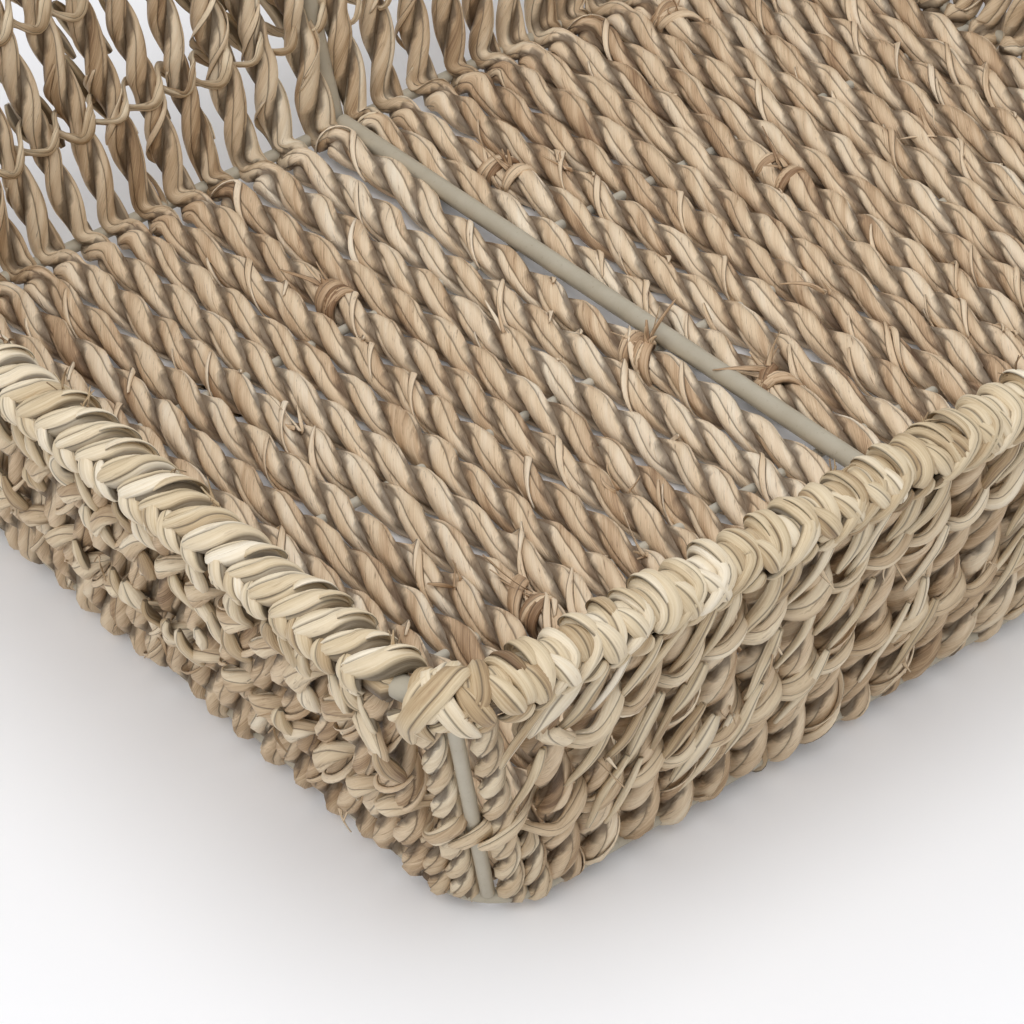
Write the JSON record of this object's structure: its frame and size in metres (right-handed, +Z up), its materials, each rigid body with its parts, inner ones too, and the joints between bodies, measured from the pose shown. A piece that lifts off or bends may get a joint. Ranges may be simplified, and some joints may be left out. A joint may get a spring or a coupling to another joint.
{
  "type": "bread basket",
  "caption": "Low rectangular bread basket with flared walls: a wire frame covered in twisted seagrass cord, with twined rows and a braided rim.",
  "frame": {"origin": "under the middle of the basket, on the plane it rests on", "axes": "+Z up out of the basket's open top, +X along its length, +Y across its width towards the back wall"},
  "size_m": [0.3368, 0.2764, 0.08],
  "materials": {
    "frame_wire": "satin, pale greenish grey coating on wire",
    "cross_wire": "satin, pale coating on thin wire",
    "seagrass_base": "matte dried seagrass, two-ply twisted cord",
    "seagrass_wall": "matte dried seagrass, two-ply twisted cord",
    "seagrass_twine": "matte dried seagrass ribbon, twisted in pairs",
    "seagrass_rim": "matte flat seagrass blades, braided"
  },
  "bodies": {
    "root": {"rim_rod": "frame_wire", "foot_ring": "frame_wire", "corner_post_front_left": "frame_wire", "corner_post_front_right": "frame_wire", "corner_post_back_left": "frame_wire", "corner_post_back_right": "frame_wire", "upright_front": "frame_wire", "upright_back": "frame_wire", "base_bar": "frame_wire", "cross_wire_front": "cross_wire", "cross_wire_middle": "cross_wire", "cross_wire_back": "cross_wire", "foot_wrap_front": "seagrass_wall", "foot_wrap_back": "seagrass_wall", "foot_wrap_left": "seagrass_wall", "foot_wrap_right": "seagrass_wall", "base_cords": "seagrass_base", "front_wall_cords": "seagrass_wall", "back_wall_cords": "seagrass_wall", "left_wall_cords": "seagrass_wall", "right_wall_cords": "seagrass_wall", "corner_cords_front_left": "seagrass_twine", "corner_cords_front_right": "seagrass_twine", "corner_cords_back_left": "seagrass_twine", "corner_cords_back_right": "seagrass_twine", "lower_twine_outer": "seagrass_twine", "lower_twine_inner": "seagrass_twine", "upper_twine_front": "seagrass_twine", "upper_twine_back": "seagrass_twine", "upper_twine_left": "seagrass_twine", "upper_twine_right": "seagrass_twine", "rim_braid_front": "seagrass_rim", "rim_braid_back": "seagrass_rim", "rim_braid_left": "seagrass_rim", "rim_braid_right": "seagrass_rim"}
  },
  "joints": []
}
